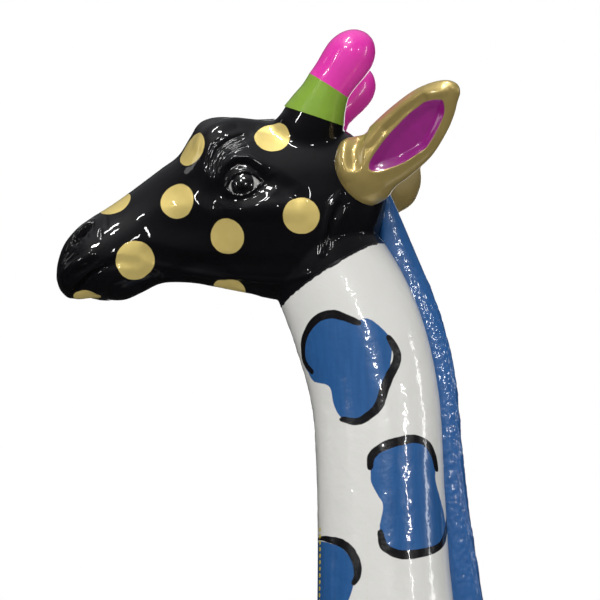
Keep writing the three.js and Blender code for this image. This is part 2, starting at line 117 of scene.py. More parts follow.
# Across the head's axis: [along, top, bottom, half width, bias].
SKULL = [
    [-6, -2, -16, 12, 0], [0, 14, -26, 26, 0], [12, 32, -31, 36, 0], [30, 46, -34, 42, -0.05],
    [48, 54, -42, 43, -0.08], [63, 59, -45, 42, -0.08], [82, 66, -42, 39, -0.06],
    [106, 76, -38, 37, 0], [136, 89, -46, 40, 0.05], [158, 98, -56, 47, 0.1],
    [176, 115, -65, 55, 0.14], [190, 128, -72, 61, 0.15], [208, 130, -82, 66, 0.12],
    [230, 124, -92, 68, 0.1], [256, 115, -98, 67, 0.06], [288, 108, -94, 64, 0.04],
    [320, 96, -78, 60, 0], [348, 74, -54, 52, 0], [366, 44, -22, 38, 0], [374, 18, 4, 16, 0],
]
# [from the root, across, half width, half thickness].
EAR = [
    [-30, 3, 6, 5], [-25, 6, 20, 15], [-13, 5, 32.5, 26], [4, 3, 39, 29], [20, 2.5, 36.5, 25],
    [32, 6, 34, 21], [45, 6, 35, 18.5], [76, 6, 35, 15], [106, 3.5, 29.5, 12], [125, 2, 22.5, 10],
    [138, 1, 15, 8], [146, 2, 9.5, 6], [150, 2.5, 3, 2.5],
]
# The painted hollow of an ear, drawn on its face: (from the root, across).
EAR_LINING = [
    (20, 9), (28, 2), (54, -5), (83, -8), (99, -8), (113, -6), (125, 1), (128, 7), (120, 17),
    (105, 24), (83, 31), (68, 30), (50, 27), (36, 22), (26, 17), (20.5, 12),
]
# [x, z, height] along the outer edge.
MANE_RIDGE = [
    [2, 2228, 2], [20, 2186, 18], [36, 2146, 32], [57, 2093, 32], [73, 2036, 24], [80, 1984, 21],
    [86, 1900, 22], [96, 1815, 26], [116, 1690, 31], [149, 1570, 33], [202, 1480, 29],
    [252, 1404, 15], [288, 1366, -4],
]
TAIL = [
    [658, 1224, 12, 12], [682, 1227, 16, 16], [702, 1222, 17, 17], [728, 1210, 16, 16],
    [752, 1165, 12, 12], [762, 1080, 10, 10], [762, 980, 9, 9], [760, 900, 8.5, 8.5],
]
TUFT = [
    [760, 945, 9.5, 9.5], [761, 930, 14, 13], [762, 905, 20, 18], [764, 850, 26, 23],
    [765, 790, 23, 20], [764, 735, 13, 12], [762, 706, 2, 2],
]
HORN_FOOT, HORN_LEAN, HORN_SPLAY = (305, 84, 34), math.radians(34), math.radians(14)
# Along the horn: [distance, radius].
HORN = [
    [-26, 32], [-10, 40], [4, 39], [13, 36], [24, 32.2], [36, 28.2], [50, 25.8], [64, 25.8],
    [80, 27.2], [93, 27], [105, 23.4], [113.5, 17.4], [118.4, 10.8], [120.6, 4], [121, 1],
]
HORN_CURVE = ([0, 22, 50, 90, 121], [-6, -1, 4, 2, 0.5])  # how far its middle lies forward
HORN_EDGE = (4, 20)  # how far up a horn its paint starts, at the front and at the back
GREEN_BAND = {"left": 50, "right": 30}  # how far the green paint reaches up each
EYE = (219.5, 29, 42)  # middle of the eyeball's curve: along, up, out
EYE_RADIUS = 25.5
# The opening between the lids: (along, up).
LIDS = [
    (199.5, 30), (204, 35), (211, 39.5), (219, 41), (228, 39), (236, 34), (242, 26.5),
    (235, 21), (226, 17.5), (216, 16.5), (207, 20), (202, 25),
]


def on_head(along, up, out=0.0):
    """A place given along the head's axis from the lips, up across it, and out to the left."""
    return LIPS + (HEAD_AXIS * along + HEAD_UP * up + LEFTWARDS * out) * MM


# ---- camera

camera = put("camera", bpy.data.cameras.new("camera"))
bpy.context.scene.camera = camera
aim = place(-92, 2094)
turn, rise, away = math.radians(2), math.radians(-14), 2.6
level = math.cos(rise)
from_aim = Vector((math.sin(turn) * level, -math.cos(turn) * level, math.sin(rise)))
camera.location = aim + from_aim * away
camera.rotation_euler = (-from_aim).to_track_quat("-Z", "Y").to_euler()
camera.data.sensor_width = 36
camera.data.lens = camera.data.sensor_width * away / 0.66  # the view is 660 mm wide at the head
camera.data.clip_end = 50
bpy.context.scene.view_settings.view_transform = "Standard"


# ---- making shapes

def smooth_rows(rows, steps):
    """Rows of numbers, with `steps` rows to each span on a smooth curve through them."""
    rows = np.array(rows, float)
    ends = np.vstack([2 * rows[0] - rows[1], rows, 2 * rows[-1] - rows[-2]])
    out = []
    for i in range(len(rows) - 1):
        a, b, c, d = ends[i : i + 4]
        square, cube = 2 * a - 5 * b + 4 * c - d, 3 * b - a - 3 * c + d
        for t in np.arange(steps) / steps:
            out.append(0.5 * (2 * b + (c - a) * t + square * t**2 + cube * t**3))
    return out + [rows[-1]]


def closed_line(points, steps=5):
    """A smooth closed line through points in a plane."""
    wrapped = list(points[-2:]) + list(points) + list(points[:2])
    return np.array(smooth_rows(wrapped, steps)[2 * steps : -2 * steps - 1])


def stations(rows, steps, across=None, y=0.0):
    """Rings from rows of [x, z, up, side], standing across their line or across `across`."""
    rows = smooth_rows(rows, steps)
    centres = [place(row[0], row[1], y) for row in rows]
    out = []
    for i, (row, centre) in enumerate(zip(rows, centres)):
        way = across or (centres[min(i + 1, len(rows) - 1)] - centres[max(i - 1, 0)]).normalized()
        out.append((centre, way, Vector((-way.z, 0, way.x)).normalized(), row[2] * MM, row[3] * MM, 0))
    return out


def mesh_of(bm):
    mesh = bpy.data.meshes.new("work")
    bm.to_mesh(mesh)
    bm.free()
    return mesh


def worked(work):
    """The mesh that an object's modifiers make. The object goes."""
    graph = bpy.context.evaluated_depsgraph_get()
    mesh = bpy.data.meshes.new_from_object(work.evaluated_get(graph))
    bpy.data.objects.remove(work)
    return mesh


def loft(shape, rings, around=48, boxy=1.0):
    """Adds a closed skin through rings of (centre, way through it, its top, half size up, half
    side, bias). Below 1, `boxy` flattens their sides."""
    bm = bmesh.new()
    previous = []
    for i, (centre, way, top, up, side, bias) in enumerate(rings):
        sideways = way.cross(top)
        capped = i in (0, len(rings) - 1)
        made = bmesh.ops.create_circle(bm, cap_ends=capped, segments=around, radius=1)["verts"]
        edges = list({edge for v in made for edge in v.link_edges})
        for v in made:
            wide, high = (math.copysign(abs(c) ** boxy, c) for c in v.co[:2])
            v.co = centre + sideways * (wide * (1 + bias * high) * side) + top * (high * up)
        if previous:
            bmesh.ops.bridge_loops(bm, edges=previous + edges)
        previous = edges
    bmesh.ops.recalc_face_normals(bm, faces=bm.faces)
    one = mesh_of(bm)
    shape.from_mesh(one)
    bpy.data.meshes.remove(one)


def one_skin(bm, grain, rounds):
    """All the shells in bm joined into one even skin of small squares, then eased."""
    work = put("work", mesh_of(bm))
    fuse = work.modifiers.new("fuse", "REMESH")
    fuse.mode, fuse.voxel_size = "VOXEL", grain * MM
    ease = work.modifiers.new("ease", "SMOOTH")
    ease.factor, ease.iterations = 0.5, rounds
    return worked(work)


def points_of(mesh, kind="co"):
    """The places of a mesh's points in metres, or their normals."""
    flat = np.empty(len(mesh.vertices) * 3, np.float32)
    mesh.vertices.foreach_get(kind, flat)
    return flat.reshape(-1, 3).astype(float)


def skin_of(mesh):
    return points_of(mesh), points_of(mesh, "normal")


def set_points(mesh, points):
    mesh.vertices.foreach_set("co", points.astype(np.float32).ravel())
    mesh.update()


def surface(mesh):
    """A tree to find the nearest place on a mesh with."""
    bm = bmesh.new()
    bm.from_mesh(mesh)
    tree = BVHTree.FromBMesh(bm)
    bm.free()
    return tree


def from_left(tree, at):
    """The place where a line straight in from the giraffe's left meets the skin at `at`."""
    hit = tree.ray_cast(Vector((at.x, -1, at.z)), -LEFTWARDS)[0]
    return hit if hit and hit.y < 0.02 else tree.find_nearest(at)[0]


def line_distance(points, line):
    """The distance of each point from a broken line, and how far along the line it lies, 0 to 1."""
    best = np.full(len(points), np.inf)
    along = np.zeros(len(points))
    line = [np.array(p, float) for p in line]
    for i, (a, b) in enumerate(zip(line, line[1:])):
        ab = b - a
        t = np.clip((points - a) @ ab / max(ab @ ab, 1e-18), 0, 1)
        distance = np.linalg.norm(points - a - t[:, None] * ab, axis=1)
        nearer = distance < best
        best[nearer] = distance[nearer]
        along[nearer] = (i + t[nearer]) / (len(line) - 1)
    return best, along


def outline_distance(points, outline):
    """The distance from a closed line in a plane, negative inside it."""
    distance, _ = line_distance(points, list(outline) + [outline[0]])
    inside = np.zeros(len(points), bool)
    for a, b in zip(outline, np.roll(outline, -1, axis=0)):
        crosses = (a[1] > points[:, 1]) != (b[1] > points[:, 1])
        rise = (b[1] - a[1]) or 1e-12
        inside ^= crosses & (points[:, 0] < (b[0] - a[0]) * (points[:, 1] - a[1]) / rise + a[0])
    return np.where(inside, -distance, distance)


def ramp(value, start, end):
    """A smooth rise from 0 at start to 1 at end."""
    share = np.clip((value - start) / (end - start), 0, 1)
    return share * share * (3 - 2 * share)


def swell(distance, width):
    """A soft mound: 1 where the distance is 0, and 0 from `width` on."""
    return np.clip(1 - (distance / width) ** 2, 0, 1) ** 2


def press(points, normals, line, width, lift, folded):
    """Raises the skin by `lift` along a line, or presses it in where lift is below 0."""
    distance, along = line_distance(folded, line)
    thin = 0.45 + 0.55 * np.sin(math.pi * np.clip(along, 0.02, 0.98))
    points += normals * (swell(distance, width * MM) * thin * lift * MM)[:, None]


def paint(mesh, name, values):
    """Keeps a number for each point, here its distance in millimetres from a painted edge."""
    made = mesh.attributes.new(name, "FLOAT", "POINT")
    made.data.foreach_set("value", values.astype(np.float32))


def cut(mesh, planes, closed=True):
    """The part of a mesh behind each (point, normal), closed where it is cut."""
    bm = bmesh.new()
    bm.from_mesh(mesh)
    for point, normal in planes:
        whole = bm.verts[:] + bm.edges[:] + bm.faces[:]
        made = bmesh.ops.bisect_plane(bm, geom=whole, plane_co=point, plane_no=normal, clear_outer=True)
        if not closed:
            continue
        rim = [item for item in made["geom_cut"] if isinstance(item, bmesh.types.BMEdge)]
        for edge in rim:
            edge.smooth = False
        for face in bmesh.ops.edgeloop_fill(bm, edges=rim)["faces"]:
            face.smooth = False
            face.normal_update()
            if face.normal.dot(normal) < 0:
                face.normal_flip()
    return mesh_of(bm)


def finer(mesh):
    work = put("work", mesh)
    round_off = work.modifiers.new("round", "SUBSURF")
    round_off.levels = round_off.render_levels = 1
    return worked(work)


def piece(name, mesh, material, slot, *nodes):
    """A finished piece, standing for the CAD nodes it replaces. Only the faces that close a cut have
    more than four sides, and they stay flat."""
    mesh.polygons.foreach_set("use_smooth", [len(face.vertices) < 5 for face in mesh.polygons])
    mesh.name = name
    mesh.materials.clear()
    mesh.materials.append(material)
    made = put(name, mesh)
    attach(made, "root")
    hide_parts(*nodes)


# ---- paints and metals

def colour(hex_value):
    """An sRGB hex colour as linear light."""
    parts = [int(hex_value[i : i + 2], 16) / 255 for i in (1, 3, 5)]
    return tuple(c / 12.92 if c <= 0.04045 else ((c + 0.055) / 1.055) ** 2.4 for c in parts) + (1,)


def connect(tree, made, sockets):
    """Gives each named socket of a node a value or a link."""
    for name, value in sockets.items():
        if isinstance(value, bpy.types.NodeSocket):
            tree.links.new(value, made.inputs[name])
        else:
            made.inputs[name].default_value = value


def node(tree, kind, sockets=None, **settings):
    """Adds a node with its settings, values and links."""
    made = tree.nodes.new("ShaderNode" + kind)
    for name, value in settings.items():
        setattr(made, name, value)
    connect(tree, made, sockets or {})
    return made


def new_material(name):
    material = bpy.data.materials.new(name)
    material.use_nodes = True
    tree = material.node_tree
    tree.nodes.clear()
    shader = node(tree, "BsdfPrincipled")
    node(tree, "OutputMaterial", {"Surface": shader.outputs[0]})
    return material, tree, shader


def painted(tree, under, over, edge, soft, ragged):
    """One paint laid over another inside an edge, and a mask that is 1 where it lies. The distance
    from the edge is kept on the mesh, and the brush leaves it a little ragged."""
    where = node(tree, "TexCoord").outputs["Object"]
    kept = node(tree, "Attribute", attribute_name=edge).outputs["Fac"]
    hand = node(tree, "TexNoise", {"Vector": where, "Scale": 1 / (9 * MM), "Detail": 2.0}).outputs["Fac"]
    strayed = node(tree, "Math", {0: hand, 1: 2 * ragged, 2: -ragged}, operation="MULTIPLY_ADD").outputs[0]
    off = node(tree, "Math", {0: kept, 1: strayed}, operation="ADD").outputs[0]
    limits = {"Value": off, "From Min": soft, "From Max": -soft, "To Min": 0.0, "To Max": 1.0}
    mask = node(tree, "MapRange", limits).outputs[0]
    laid = node(tree, "Mix", {"Factor": mask, "A": under, "B": over}, data_type="RGBA")
    return laid.outputs["Result"], mask


def mottled(tree, one, other, size, stretch=(1.0, 1.0, 1.0), turned=(0.0, 0.0, 0.0), detail=4.0, rough=0.6):
    """A colour that drifts between two shades over patches of `size` millimetres, and the pattern
    it follows. A stretch below 1 draws the patches out into streaks."""
    where = node(tree, "TexCoord").outputs["Object"]
    laid = node(tree, "Mapping", {"Vector": where, "Rotation": turned, "Scale": stretch}).outputs[0]
    settings = {"Vector": laid, "Scale": 1 / (size * MM), "Detail": detail, "Roughness": rough}
    drift = node(tree, "TexNoise", settings).outputs["Fac"]
    shades = {"Factor": drift, "A": colour(one), "B": colour(other)}
    return node(tree, "Mix", shades, data_type="RGBA").outputs["Result"], drift


def beaded(tree, under, pitch, radius):
    """A row of yellow beads of paint, `pitch` apart down the line that the mesh keeps as "beads"."""
    where = node(tree, "TexCoord").outputs["Object"]
    height = node(tree, "SeparateXYZ", {0: where}).outputs["Z"]
    step = node(tree, "Math", {0: height, 1: 1 / (pitch * MM)}, operation="MULTIPLY").outputs[0]
    part = node(tree, "Math", {0: step}, operation="FRACT").outputs[0]
    drop = node(tree, "Math", {0: part, 1: pitch, 2: -pitch / 2}, operation="MULTIPLY_ADD").outputs[0]
    off = node(tree, "Attribute", attribute_name="beads").outputs["Fac"]
    both = node(tree, "CombineXYZ", {"X": off, "Y": drop}).outputs[0]
    reach = node(tree, "VectorMath", {0: both}, operation="LENGTH").outputs["Value"]
    limits = {"Value": reach, "From Min": radius + 0.3, "From Max": radius - 0.3}
    bead = node(tree, "MapRange", limits).outputs[0]
    laid = {"Factor": bead, "A": under, "B": colour("#c9b53a")}
    return node(tree, "Mix", laid, data_type="RGBA").outputs["Result"]


def lacquered(name, roughness, wave, depth, ground, *coats, metallic=0.0, beads=False, sockets=None):
    """Enamels brushed on laminate, under sprayed coats of clear lacquer. The ground has the shades
    of `mottled`. Each coat over it is (edge, soft, ragged, shades, metallic), and one hex colour
    can stand for its shades. Sanding by hand left slow waves in the surface, `wave` and `depth` in
    millimetres, and the spray left a fine orange peel."""
    peel, peel_depth = 3.2, 0.006
    material, tree, shader = new_material(name)
    paints, _ = mottled(tree, *ground)
    for edge, soft, ragged, shades, coat_metallic in coats:
        over = colour(shades) if isinstance(shades, str) else mottled(tree, *shades)[0]
        paints, mask = painted(tree, paints, over, edge, soft, ragged)
        if coat_metallic != metallic:
            shares = {"Value": mask, "To Min": metallic, "To Max": coat_metallic}
            metallic = node(tree, "MapRange", shares).outputs[0]
    if beads:
        paints = beaded(tree, paints, pitch=7.0, radius=2.4)
    where = node(tree, "TexCoord").outputs["Object"]
    waves = {"Vector": where, "Scale": 1 / (wave * MM), "Detail": 3.0, "Roughness": 0.45}
    slow = node(tree, "TexNoise", waves).outputs["Fac"]
    fine = node(tree, "TexNoise", {"Vector": where, "Scale": 1 / (peel * MM), "Detail": 1.0}).outputs["Fac"]
    body = node(tree, "Bump", {"Height": slow, "Distance": depth * MM, "Strength": 1.0}).outputs[0]
    spray = {"Height": fine, "Distance": peel_depth * MM, "Strength": 1.0, "Normal": body}
    skin = node(tree, "Bump", spray).outputs[0]
    connect(tree, shader, {
        "Base Color": paints, "Metallic": metallic, "Roughness": roughness, "Normal": skin,
        "Coat Normal": skin, "Coat Weight": 1.0, "Coat Roughness": 0.02, "Coat IOR": 1.5,
        **(sockets or {}),
    })
    return material


def bare(name, roughness, depth, shades, metallic=0.0):
    """An unpainted surface with the shades of `mottled`, raised by `depth` millimetres where their
    pattern is 1, and as rough as the pair of `roughness` where it is 0 and 1."""
    material, tree, shader = new_material(name)
    tone, pattern = mottled(tree, *shades)
    low, high = roughness
    rough = low
    if high != low:
        rough = node(tree, "MapRange", {"Value": pattern, "To Min": low, "To Max": high}).outputs[0]
    bump = node(tree, "Bump", {"Height": pattern, "Distance": depth * MM}).outputs[0]
    connect(tree, shader, {"Base Color": tone, "Metallic": metallic, "Roughness": rough, "Normal": bump})
    return material


STRAIGHT = (0.0, 0.0, 0.0)
# Polyurethane enamel, brushed on in two coats: black hides the laminate fully, and the gold dots
# are a paint of fine bronze flakes that catches the light softly.
BLACK = lacquered(
    "black_enamel_with_gold_dots", 0.42, 20, 0.3, ("#070608", "#0c0b0f", 60),
    ("dots", 0.3, 0.6, ("#d9c171", "#e6d084", 14), 0.45),
    sockets={"Specular IOR Level": 0.1, "Coat IOR": 1.42},
)
# White enamel under clear lacquer, with blue patches brushed by hand and black outlines. On the
# neck the head's black ends in an uneven brushed edge, and yellow beads run down its front.
OUTLINE_BLACK = "#0d0c0f"
WHITE_AND_PATCHES = (
    0.25, 19, 0.9, ("#cdccc7", "#d6d5d1", 90),
    ("patches", 0.35, 0.7, ("#214a7c", "#2b5d95", 5, (1.0, 1.0, 0.12), STRAIGHT, 3.0, 0.5), 0.0),
    ("outlines", 0.35, 0.8, OUTLINE_BLACK, 0.0),
)
WHITE = lacquered("white_enamel_with_blue_patches", *WHITE_AND_PATCHES)
COLLAR = ("collar", -0.35, 2.6, OUTLINE_BLACK, 0.0)
WHITE_COLLARED = lacquered("white_enamel_with_collar", *WHITE_AND_PATCHES, COLLAR, beads=True)
# Two enamels on a horn: a fluorescent pink over green, meeting at a masked edge.
PINK = lacquered(
    "pink_and_green_enamel", 0.3, 16, 0.14, ("#d42a9c", "#e03aac", 20),
    ("green", 0.3, 0.5, ("#74952f", "#86a83a", 16), 0.0),
)
# Blue enamel over hair that was modelled in the laminate, so the gloss breaks into glints.
BLUE = lacquered("blue_enamel", 0.28, 7, 0.5, ("#1e4a7e", "#2a5c96", 12))
# Bronze powder in lacquer: a gold that is never as clear as metal, with a magenta lining on ears.
BRONZE_POWDER = (0.34, 20, 0.12, ("#b49c5c", "#c9b26e", 22))
LINING = ("lining", 0.3, 0.4, ("#7c0869", "#93107c", 12), 0.0)
GOLD_LINED = lacquered("gold_enamel_with_magenta", *BRONZE_POWDER, LINING, metallic=0.6)
GOLD = lacquered("gold_enamel", *BRONZE_POWDER, metallic=0.6)
# Cast acrylic eyeball, painted behind: a near-black iris in a grey-white ball. The iris's dark paint is
# drawn taller than the iris, so that the ball above and below it is darkened as painted shade from the
# lids.
EYEBALL = lacquered(
    "painted_acrylic_eye", 0.2, 12, 0.02, ("#9b9a98", "#b5b4b1", 5),
    ("iris_and_lid_shade", 0.6, 0.3, "#0d0d0f", 0.0), ("pupil", 0.6, 0.2, "#050506", 0.0),
)
# Hot-rolled steel bar: dark mill scale, dull, with a few brighter rubbed patches.
STEEL = bare("hot_rolled_steel", (0.38, 0.62), 0.05, ("#4a4c4f", "#74777a", 8), metallic=1.0)
# Polyester resin over chopped glass mat, laid up by hand and left bare: pale green-brown fibres.
MAT = ("#a19c76", "#c9c5a4", 2, (1.0, 0.15, 1.0), (0.6, 0.3, 0.9), 3.0, 0.5)
LAMINATE = bare("bare_glass_fibre_laminate", (0.55, 0.55), 0.2, MAT)
# Birch plywood, sawn and left raw: pale long grain.
GRAIN = ("#a9814f", "#cfae7c", 2.5, (0.08, 1.0, 1.0), STRAIGHT, 5.0, 0.5)
PLYWOOD = bare("raw_birch_plywood", (0.75, 0.75), 0.08, GRAIN)


# ---- head

# What the hands of the modeller left in the skin of the head, as [half width, lift, line], with
# each line drawn on the head's side as (along, up).
FEATURES = [
    # nostril, and the rim above it
    [7, 3.5, [(48, 44), (41, 40), (32, 33), (22, 26), (15, 18)]],
    [5.5, -8, [(45, 37), (39, 33), (31, 27), (26, 22)]],
    [3, -2.5, [(34, 32), (39, 24)]],
    [2.2, -1.6, [(28, 27), (33, 19)]],
    [2.2, -1.4, [(22, 23), (27, 16)]],
    # small upright folds over the nostril's back
    [2.4, -1.5, [(65, 45), (63, 30)]],
    [2.2, -1.4, [(50, 43), (47, 29)]],
    [2.0, -1.2, [(56, 28), (54, 18)]],
    # creases of the upper lip, and the lip's rounded edge
    [2.0, -1.1, [(6, -1), (16, 2), (25, 6)]],
    [2.0, -1.1, [(6, 4), (14, 7), (22, 11)]],
    [2.0, -0.9, [(7, 9), (14, 12)]],
    [8, 2.6, [(1, -8), (11, -5), (26, -2), (38, 2)]],
    [6, -2.6, [(6, -15), (16, -12), (30, -10), (42, -6)]],
    # mouth
    [3.6, -5.0, [(2, -27), (10, -27), (18, -24), (27, -20), (37, -17), (50, -15)]],
    [9, -2.5, [(34, -20), (52, -15), (68, -13), (84, -18)]],
    [10, 2.4, [(20, -33), (34, -33), (50, -32), (62, -30)]],
    # the fold above the jaw, the jaw's edge and the hollow under it
    [13, -4.2, [(100, -10), (131, -26), (157, -36), (184, -45), (214, -57), (246, -66)]],
    [6, 2.8, [(104, -24), (134, -38), (156, -48), (180, -58), (205, -68), (236, -80), (262, -84)]],
    [10, -2.4, [(112, -34), (140, -48), (170, -62), (200, -76)]],
    # cheek folds under the ear
    [6, 2.6, [(318, -8), (304, -20), (294, -38), (286, -54), (282, -66)]],
    [4.5, -2.6, [(314, -20), (303, -32), (296, -46), (292, -60)]],
    [5, 2.2, [(322, -24), (310, -36), (303, -52)]],
    # cheekbone and the hollow of the cheek
    [16, 3.2, [(190, 8), (219, -2), (247, -8), (268, -16)]],
    [26, -4.0, [(120, 14), (150, 2), (182, -12)]],
    [30, -2.5, [(228, -38), (256, -44)]],
    # the hollow in front of the eye, and the one behind it
    [20, -4.0, [(174, 44), (184, 26), (194, 8)]],
    [18, -4.0, [(248, 26), (258, 14), (270, 2)]],
    # brow
    [17, 4.5, [(186, 92), (204, 104), (228, 108), (252, 100), (276, 92)]],
    [11, -3.4, [(190, 62), (202, 76), (218, 83), (238, 84)]],
    [6, 3.0, [(194, 40), (203, 54), (217, 60), (232, 56), (243, 44), (252, 32)]],
    # creases above the eye, one inside the other
    [2.2, -1.9, [(187, 48), (191, 64), (202, 79), (217, 86), (232, 88)]],
    [2.2, -1.9, [(191, 46), (195, 61), (205, 74), (218, 80), (232, 82)]],
    [2.1, -1.8, [(194, 47), (199, 60), (208, 70), (220, 75), (233, 76)]],
    [2.0, -1.6, [(198, 50), (203, 60), (211, 67), (222, 70), (234, 70)]],
    [1.9, -1.2, [(184, 55), (188, 70), (199, 84), (214, 91)]],
    [2.0, -1.7, [(193, 34), (198, 43), (208, 51), (219, 54), (231, 50), (240, 39), (246, 27)]],
]

# Gold dots: (along, up, out, radius), with out left out where the side of the head is flat.
LEFT_DOTS = [
    (171, 92, 44, 20), (263, 75, None, 19.5), (145, 36, None, 19.5), (271, -22, None, 20),
    (188, -19, None, 19.5), (84, -15, None, 21.5), (77, 60, 18, 19), (172, -73, 4, 18),
    (21, -38, 4, 15),
]
RIGHT_DOTS = [
    (160, 78, 46, 19), (224, 96, 52, 20), (118, 8, None, 20), (236, -6, None, 20),
    (172, -38, None, 19), (62, 8, None, 20), (296, 26, None, 20), (216, -78, 26, 19),
    (288, -58, None, 19), (104, 66, 18, 18),
]
TOP_DOTS = [(232, 122, 0, 20), (132, 84, -6, 18), (22, 40, 0, 17), (340, 82, 4, 20)]


def horn_axis(side):
    """The foot of a horn, which way it stands, and which way its front looks."""
    foot = on_head(HORN_FOOT[0], HORN_FOOT[1], HORN_FOOT[2] * -side)
    way = Vector((
        math.sin(HORN_LEAN) * math.cos(HORN_SPLAY),
        side * math.sin(HORN_SPLAY),
        math.cos(HORN_LEAN) * math.cos(HORN_SPLAY),
    ))
    return foot, way, (way * way.x - BACKWARDS).normalized()


def horn_rings(side, rows, grow=0.0):
    """Rings of a horn. Its flared foot is narrower across the head, where the two feet meet."""
    foot, way, front = horn_axis(side)
    shaft = 27
    rings = []
    for at, radius in smooth_rows(rows, 4):
        centre = foot + way * (at * MM) + front * (float(np.interp(at, *HORN_CURVE)) * MM)
        across = min(radius, shaft + 0.35 * (radius - shaft))
        rings.append((centre, way, front, (radius + grow) * MM, (across + grow) * MM, 0))
    return rings


def skull_rings(steps):
    rings = []
    for along, top, bottom, side, bias in smooth_rows(SKULL, steps):
        middle, half = (top + bottom) / 2, (top - bottom) / 2
        rings.append((on_head(along, middle), HEAD_AXIS, HEAD_UP, half * MM, side * MM, bias))
    return rings


def head_skin():
    bm = bmesh.new()
    loft(bm, skull_rings(6))
    loft(bm, stations(NECK[6:], 8))
    for side in (-1, 1):
        loft(bm, horn_rings(side, HORN[:7], -0.8), 56)
    return eased_under_horns(one_skin(bm, 1.6, 9))


def eased_under_horns(mesh):
    """Runs the foot of each horn smoothly into the head, up to where its paint starts."""
    points = points_of(mesh)
    weight = np.zeros(len(points))
    for side in (-1, 1):
        foot, way, _ = horn_axis(side)
        away = points - np.array(foot)
        up = away @ np.array(way) / MM
        reach = np.linalg.norm(away + np.array(way) * 18 * MM, axis=1) / MM
        weight = np.maximum(weight, (1 - ramp(reach, 46, 74)) * (1 - ramp(up, -2, 14)))
    work = put("work", mesh)
    group = work.vertex_groups.new(name="under_horns")
    for step in range(1, 11):
        chosen = np.flatnonzero(np.round(weight * 10) == step)
        group.add(chosen.tolist(), step / 10, "REPLACE")
    ease = work.modifiers.new("ease", "SMOOTH")
    ease.factor, ease.iterations, ease.vertex_group = 0.5, 160, group.name
    return worked(work)


def folded_left(points):
    """The same points, all brought over to the left side."""
    out = points.copy()
    out[:, 1] = -np.abs(out[:, 1])
    return out


def model_head(mesh):
    tree = surface(mesh)
    points, normals = skin_of(mesh)
    folded = folded_left(points)
    for width, lift, line in FEATURES:
        spots = [from_left(tree, on_head(along, up, 40)) for along, up in line]
        press(points, normals, spots, width, lift, folded)

    # The lids lie over the eyeball, and the skin between them is pressed in behind it.
    folded = folded_left(points)
    from_lips = folded - np.array(LIPS)
    seen = np.column_stack([from_lips @ np.array(HEAD_AXIS), from_lips @ np.array(HEAD_UP)]) / MM
    centre = np.array(on_head(*EYE))
    ray = folded - centre
    radius = np.linalg.norm(ray, axis=1)
    near = (radius < 60 * MM) & (folded[:, 1] < centre[1])
    gap = np.full(len(points), FAR)
    gap[near] = outline_distance(seen[near], closed_line(LIDS))
    thick = 2.8 - 0.5 * ramp(gap, 3, 12) - 1.3 * ramp(EYE[1] - seen[:, 1], 0, 14)
    lid = (EYE_RADIUS + thick) * MM
    wanted = np.where(gap < 0, (EYE_RADIUS - 4.5) * MM, lid)
    wanted = np.where(gap < 0, wanted + (lid - wanted) * ramp(gap, -1.2, 0.2), wanted)
    share = np.where(near, 1 - ramp(gap, 2.5, 17), 0)
    radius_now = radius + (wanted - radius) * share
    folded = centre + ray * (radius_now / radius)[:, None]
    folded[:, 1] *= np.where(points[:, 1] > 0, -1, 1)
    moved = share > 0
    points[moved] = folded[moved]
    set_points(mesh, points)

    # Dots are painted last.
    tree = surface(mesh)
    spots = []
    for side, dots in ((1, LEFT_DOTS), (-1, RIGHT_DOTS)):
        for along, up, out, size in dots:
            if out is None:
                spot = from_left(tree, on_head(along, up, 40))
            else:
                spot = tree.find_nearest(on_head(along, up, out))[0]
            spots.append((Vector((spot.x, spot.y * side, spot.z)), size))
    spots += [(tree.find_nearest(on_head(a, u, o))[0], size) for a, u, o, size in TOP_DOTS]
    nearest = np.full(len(points), FAR)
    for spot, size in spots:
        nearest = np.minimum(nearest, np.linalg.norm(points - np.array(spot), axis=1) / MM - size)
    paint(mesh, "dots", nearest)
    return mesh


def joint_plane(joint, upwards):
    """A slanting joint as (point, outward normal) for the piece above it or below it."""
    front, back = joint
    along = (back - front).normalized()
    normal = Vector((-along.z, 0, along.x))
    return (front, -normal) if upwards else (front, normal)


head = cut(model_head(head_skin()), [joint_plane(HEAD_JOINT, True)])
piece("head", head, BLACK, "black_lacquer", "head_shell")


def eyeball(side):
    """The front of an eyeball, which looks out, a little forward and down."""
    bm = bmesh.new()
    bmesh.ops.create_icosphere(bm, subdivisions=5, radius=EYE_RADIUS * MM)
    whole = bm.verts[:] + bm.edges[:] + bm.faces[:]
    behind_lids = (0, -12 * MM, 0)
    bmesh.ops.bisect_plane(bm, geom=whole, plane_co=behind_lids, plane_no=(0, 1, 0), clear_outer=True)
    bmesh.ops.holes_fill(bm, edges=bm.edges[:])
    bmesh.ops.recalc_face_normals(bm, faces=bm.faces)
    centre = on_head(*EYE)
    bmesh.ops.translate(bm, verts=bm.verts, vec=centre)
    if side > 0:
        bmesh.ops.scale(bm, vec=(1, -1, 1), verts=bm.verts)
        bmesh.ops.recalc_face_normals(bm, faces=bm.faces)
    mesh = mesh_of(bm)
    points = folded_left(points_of(mesh))
    looks_at = np.array(centre + (Vector((-0.05, -1, -0.04)).normalized() * EYE_RADIUS) * MM)
    # Distances up and down count for less, so the dark paint reaches further up and down than across.
    # Across, it is the iris. Above and below, it is painted shade from the lids on the ball.
    distance = np.linalg.norm((points - looks_at) * np.array([1, 1, 0.72]), axis=1) / MM
    paint(mesh, "iris_and_lid_shade", distance - 13)
    paint(mesh, "pupil", distance - 7)
    return mesh


for side, name in ((-1, "left"), (1, "right")):
    piece(f"eye_{name}_ball", eyeball(side), EYEBALL, "black_lacquer", f"eye_{name}")


# ---- horns and ears

